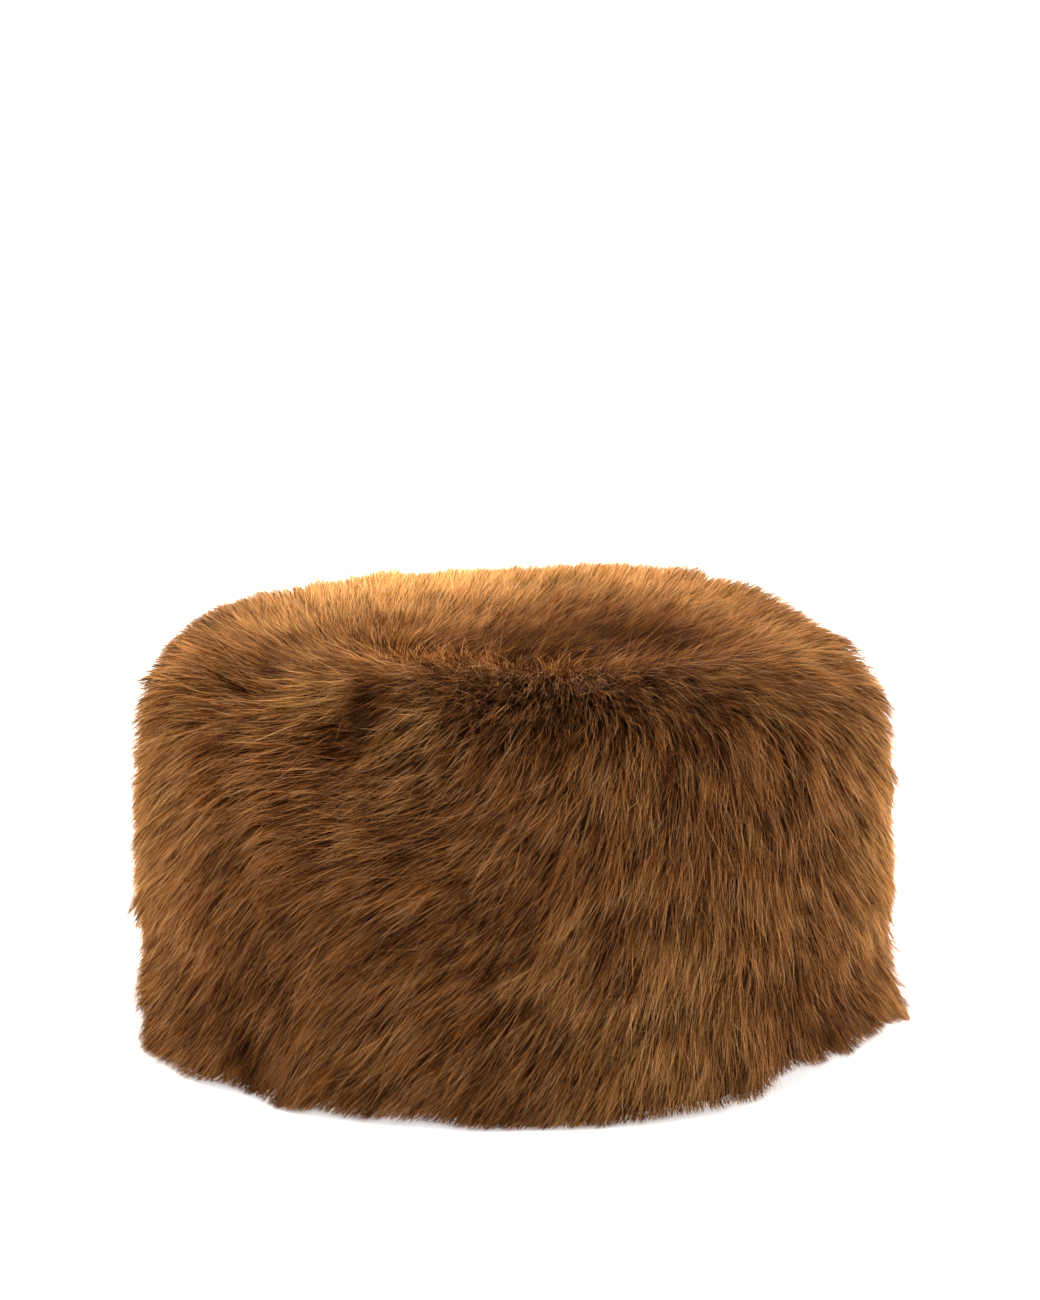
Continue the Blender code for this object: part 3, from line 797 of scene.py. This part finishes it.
    # Each strand has a cell of its own in the bake, and fills 0.6 of its width and 0.8 of its height
    cell = {0: read["strand_number"], 1: float(BAKE_ACROSS)}
    cell = add(tree, MATH, cell, operation="DIVIDE")
    lane = add(tree, MATH, {0: cell}, operation="FLOOR")
    column = add(tree, MATH, {0: cell, 1: lane}, operation="SUBTRACT")
    u = {0: read["side"], 1: 0.3 / BAKE_ACROSS, 2: column}
    u = add(tree, MATH, u, operation="MULTIPLY_ADD")
    u = add(tree, MATH, {0: u, 1: 0.5 / BAKE_ACROSS}, operation="ADD")
    v = add(tree, MATH, {0: read["along"], 1: 0.8, 2: lane}, operation="MULTIPLY_ADD")
    v = add(tree, MATH, {0: v, 1: 0.1}, operation="ADD")
    v = add(tree, MATH, {0: v, 1: float(BAKE_DOWN)}, operation="DIVIDE")
    cell = add(tree, "ShaderNodeCombineXYZ", {"X": u, "Y": v})
    hair = add(
        tree,
        "GeometryNodeStoreNamedAttribute",
        {"Geometry": hair, "Name": "OFBake", "Value": cell},
        data_type="FLOAT2",
        domain="CORNER",
    )
    hair = add(tree, "GeometryNodeSetShadeSmooth", {"Geometry": hair})
    hair = add(tree, "GeometryNodeSetMaterial", {"Geometry": hair, "Material": given["Material"]})
    tree.links.new(hair, tree.nodes.new("NodeGroupOutput").inputs["Hair"])
    return tree


KEPT_ATTRIBUTES = ("position", "along", "strand_shade", "tuft_shade", "tone", "OFBake")


def hair_patch(ground, ways, first_row, last_row, first_column, last_column):
    """Open patch of the wool's surface that carries the hair's paths, for the strands to grow on."""
    columns = np.arange(first_column, last_column + 1) % COLUMNS
    rows = np.arange(first_row, last_row + 1)
    pick = np.ix_(columns, rows)
    faces = grid_faces(len(columns), len(rows), closed=False)
    patch = mesh_object("hair_patch", ground.wool[pick].reshape(-1, 3), faces)
    for name, grid in zip(("way_1", "way_2", "way_3"), ways):
        stored = patch.data.attributes.new(name, "FLOAT_VECTOR", "POINT")
        stored.data.foreach_set("vector", grid[pick].reshape(-1).astype(np.float32))
    for name, grid in (("tone", ground.tone), ("fullness", ground.fullness)):
        stored = patch.data.attributes.new(name, "FLOAT", "POINT")
        stored.data.foreach_set("value", grid[pick].reshape(-1).astype(np.float32))
    return patch


def one_strand():
    """A flat quad that ends in a triangle: X from -1 to 1, and Y from 0 at the root to 1."""
    places = [(-1, 0, 0), (1, 0, 0), (-1, 0.5, 0), (1, 0.5, 0), (0, 1, 0)]
    return mesh_object("one_strand", places, [(0, 1, 3, 2), (2, 3, 4)])


# Factors on the settings' tuft size, strands and width, the share of the way that a strand's end is
# drawn to its lock and tuft, and how far each strays
SIDE_STYLE = {
    "Tuft size": 1.0,
    "Density": 1.2,
    "Width": 0.9,
    "Lock pull": 0.25,
    "Tuft pull": 0.55,
    "Lock stray": 3.5 * MM,
    "Tuft stray": 3.0 * MM,
    "Hair stray": 2.7 * MM,
    "Wave": 1.0 * MM,
}
CROWN_STYLE = {
    "Tuft size": 0.75,
    "Density": 1.8,
    "Width": 0.66,
    "Lock pull": 0.1,
    "Tuft pull": 0.25,
    "Lock stray": 1.8 * MM,
    "Tuft stray": 1.8 * MM,
    "Hair stray": 2.5 * MM,
    "Wave": 0.8 * MM,
}


STORE = {}


def hat_ground():
    """The hair's ground and paths, worked out once."""
    if "ground" not in STORE:
        STORE["ground"] = HairGround()
        STORE["ways"] = STORE["ground"].hair_ways()
        STORE["tree"] = hair_tree()
        STORE["hair"] = hair_material()
    return STORE["ground"], STORE["ways"]


def strand_density():
    """Strands for each square metre of wool."""
    ground, _ = hat_ground()
    area = float((ground.round_step * ground.down_step).sum())
    return settings().strands / area


def grown_hair(name, patch, seed, style):
    """Runs the hair tree over a patch and leaves its strands as one plain mesh."""
    given = settings()
    tree, material = STORE["tree"], STORE["hair"]
    values = dict(style)
    values["Density"] *= strand_density()
    values["Width"] *= given.width
    values["Lock density"] = 1 / given.lock_size**2
    values["Tuft density"] = 1 / (given.tuft_size * style["Tuft size"]) ** 2
    values["Seed"] = seed
    values["Material"] = material
    values["Strand"] = one_strand()
    grower = patch.modifiers.new("hair", "NODES")
    grower.node_group = tree
    for item in tree.interface.items_tree:
        if item.item_type == "SOCKET" and item.in_out == "INPUT" and item.name in values:
            grower[item.identifier] = values[item.name]
    bpy.context.view_layer.update()
    graph = bpy.context.evaluated_depsgraph_get()
    mesh = bpy.data.meshes.new_from_object(patch.evaluated_get(graph))
    patch.modifiers.remove(grower)
    bpy.data.objects.remove(patch)
    bpy.data.objects.remove(values["Strand"])
    if not mesh.polygons:
        raise RuntimeError(f"{name} grew no hair")
    mesh.name = name
    mesh.materials.clear()
    mesh.materials.append(material)
    for extra in [a.name for a in mesh.attributes if not a.is_internal]:
        if extra not in KEPT_ATTRIBUTES and not mesh.attributes[extra].is_required:
            mesh.attributes.remove(mesh.attributes[extra])
    made = bpy.data.objects.new(name, mesh)
    bpy.context.scene.collection.objects.link(made)
    return made


def dressed(piece, node):
    """The piece stands for a CAD node and rides with the hat."""
    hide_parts(node)
    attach(piece, "root")


def hair_round(name, node, pieces, first_row, last_row, first_seed, style):
    """Grows one fur's hair in equal sectors round the hat, each a piece of its own."""
    ground, ways = hat_ground()
    share = COLUMNS // pieces
    for part in range(pieces):
        first = part * share
        patch = hair_patch(ground, ways, first_row, last_row, first, first + share)
        dressed(grown_hair(f"{name}_{part + 1}", patch, first_seed + part, style), node)


class FURHAT_OT_hide(bpy.types.Operator):
    """Gives the hide of the band and the crown its suede"""

    bl_idname = "furhat.hide"
    bl_label = "Hide"

    def execute(self, context):
        suede = suede_material()
        for name in ("band_hide", "crown_hide"):
            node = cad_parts[name]
            node.data.materials.clear()
            node.data.materials.append(suede)
        return {"FINISHED"}


class FURHAT_OT_under_wool(bpy.types.Operator):
    """Builds the dense wool under the hair of the band and the crown"""

    bl_idname = "furhat.under_wool"
    bl_label = "Under-wool"

    def execute(self, context):
        ground, _ = hat_ground()
        material = wool_material()
        foot = np.linspace(0, 1, ROWS - SEAM_ROW)[None, ::-1, None]
        sideways = ground.out[:, -1:, :]
        inner = ground.core[:, SEAM_ROW:][:, ::-1] + sideways * (WOOL_GAP + WALL_LEAN * foot)
        band = np.concatenate([ground.wool[:, SEAM_ROW:], inner], 1)
        rows = band.shape[1]
        faces = grid_faces(COLUMNS, rows, closed=True)
        for i in range(COLUMNS):
            beside = (i + 1) % COLUMNS
            faces.append((i * rows + rows - 1, i * rows, beside * rows, beside * rows + rows - 1))
        dressed(mesh_object("band_wool", band.reshape(-1, 3), faces, material), "band_fur")

        lift = np.array((0, 0, PANEL_HIGH.z - CORE_TOP + WOOL_GAP))
        inner = ground.core[:, :CROWN_ROWS][:, ::-1] + lift
        crown = np.concatenate([ground.wool[:, : SEAM_ROW + 1], inner], 1)
        rows = crown.shape[1]
        faces = grid_faces(COLUMNS, rows, closed=True)
        places = list(crown.reshape(-1, 3))
        top, bottom = len(places), len(places) + 1
        places += [ground.wool[:, 0].mean(0), inner[:, -1].mean(0)]
        for i in range(COLUMNS):
            beside = (i + 1) % COLUMNS
            faces.append((top, i * rows, beside * rows))
            faces.append((beside * rows + rows - 1, i * rows + rows - 1, bottom))
        dressed(mesh_object("crown_wool", places, faces, material), "crown_fur")
        return {"FINISHED"}


class FURHAT_OT_band_hair(bpy.types.Operator):
    """Grows the long hair round the side"""

    bl_idname = "furhat.band_hair"
    bl_label = "Side hair"

    def execute(self, context):
        hair_round("band_hair", "band_fur", 4, SEAM_ROW, ROWS - 1, 0, SIDE_STYLE)
        return {"FINISHED"}


class FURHAT_OT_crown_hair(bpy.types.Operator):
    """Grows the hair on top"""

    bl_idname = "furhat.crown_hair"
    bl_label = "Crown hair"

    def execute(self, context):
        hair_round("crown_hair", "crown_fur", 2, 0, SEAM_ROW, 5, CROWN_STYLE)
        return {"FINISHED"}


FLOOR_HALF = 4.0
CAMERA_DISTANCE = 1.40
CAMERA_TARGET = Vector((0, 0, 75 * MM))
CAMERA_ELEVATION = math.radians(13.5)
CAMERA_RAISED = math.radians(2.52)  # the camera aims this far above its target
CAMERA_LENS = 109.0


def area_light(name, place, aim, size, watts, colour):
    """A soft square light that faces a point."""
    light = bpy.data.lights.new(name, "AREA")
    light.shape = "SQUARE"
    light.size = size
    light.energy = watts
    light.color = colour[:3]
    made = bpy.data.objects.new(name, light)
    bpy.context.scene.collection.objects.link(made)
    made.location = place
    made.rotation_euler = (Vector(aim) - Vector(place)).to_track_quat("-Z", "Y").to_euler()


class FURHAT_OT_stage(bpy.types.Operator):
    """Sets the floor, the soft studio light and the camera"""

    bl_idname = "furhat.stage"
    bl_label = "Stage"

    def execute(self, context):
        scene = context.scene
        floor, _, paper = new_material("white_paper")
        paper.inputs["Base Color"].default_value = linear("#fbfbfb")
        paper.inputs["Roughness"].default_value = 1.0
        paper.inputs["Specular IOR Level"].default_value = 0.0
        # A light table: the floor glows a little, which keeps the shadow on it pale
        paper.inputs["Emission Color"].default_value = (1, 1, 1, 1)
        paper.inputs["Emission Strength"].default_value = 0.7
        half = FLOOR_HALF
        corners = [(-half, -half, 0), (half, -half, 0), (half, half, 0), (-half, half, 0)]
        mesh_object("floor", corners, [(0, 1, 2, 3)], floor)

        world = bpy.data.worlds.new("studio")
        world.use_nodes = True
        # The studio is bright above and behind the hat, and dim on the camera's side
        tree = world.node_tree
        toward = add(tree, "ShaderNodeTexCoord", output="Generated")
        toward = {0: toward, 1: (0.0, 0.78, 0.62)}
        toward = add(tree, VECTOR_MATH, toward, output="Value", operation="DOT_PRODUCT")
        strength = add(
            tree,
            "ShaderNodeMapRange",
            {"Value": toward, "From Min": -0.5, "From Max": 0.9, "To Min": 0.75, "To Max": 2.5},
        )
        tree.links.new(strength, tree.nodes["Background"].inputs["Strength"])
        tree.nodes["Background"].inputs["Color"].default_value = (1, 1, 1, 1)
        scene.world = world
        scene.view_settings.view_transform = "Standard"

        warm = linear("#fff0da")
        area_light("back", (0.0, 1.7, 0.8), (0, 0, 0.12), 1.0, 120, warm)
        area_light("left", (-1.3, 0.6, 0.7), (0, 0, 0.1), 0.6, 20, warm)
        area_light("right", (1.3, 0.6, 0.6), (0, 0, 0.1), 0.6, 26, (1, 1, 1))

        lens = bpy.data.cameras.new("camera")
        lens.lens = CAMERA_LENS
        camera = bpy.data.objects.new("camera", lens)
        scene.collection.objects.link(camera)
        away = Vector((0, -math.cos(CAMERA_ELEVATION), math.sin(CAMERA_ELEVATION)))
        camera.location = CAMERA_TARGET + away * CAMERA_DISTANCE
        tilt = math.radians(90) - CAMERA_ELEVATION + CAMERA_RAISED
        camera.rotation_euler = (tilt, 0, 0)
        scene.camera = camera
        return {"FINISHED"}


class FURHAT_PT_sidebar(bpy.types.Panel):
    """Lists the hat's sizes, colours and steps"""

    bl_idname = "FURHAT_PT_sidebar"
    bl_label = "Fur Hat"
    bl_space_type = "VIEW_3D"
    bl_region_type = "UI"
    bl_category = "Fur Hat"

    def draw(self, context):
        for name in FurSettings.__annotations__:
            self.layout.prop(context.scene.fur_hat, name)
        for step in STEPS:
            self.layout.operator(step.bl_idname)


STEPS = (
    FURHAT_OT_stage,
    FURHAT_OT_hide,
    FURHAT_OT_under_wool,
    FURHAT_OT_band_hair,
    FURHAT_OT_crown_hair,
)
CLASSES = (FurSettings,) + STEPS + (FURHAT_PT_sidebar,)


def register():
    for item in CLASSES:
        bpy.utils.register_class(item)
    bpy.types.Scene.fur_hat = bpy.props.PointerProperty(type=FurSettings)


def unregister():
    del bpy.types.Scene.fur_hat
    for item in reversed(CLASSES):
        bpy.utils.unregister_class(item)


def main():
    register()
    bpy.ops.furhat.stage()
    bpy.ops.furhat.hide()
    bpy.ops.furhat.under_wool()
    bpy.ops.furhat.band_hair()
    bpy.ops.furhat.crown_hair()


if __name__ == "__main__":
    main()
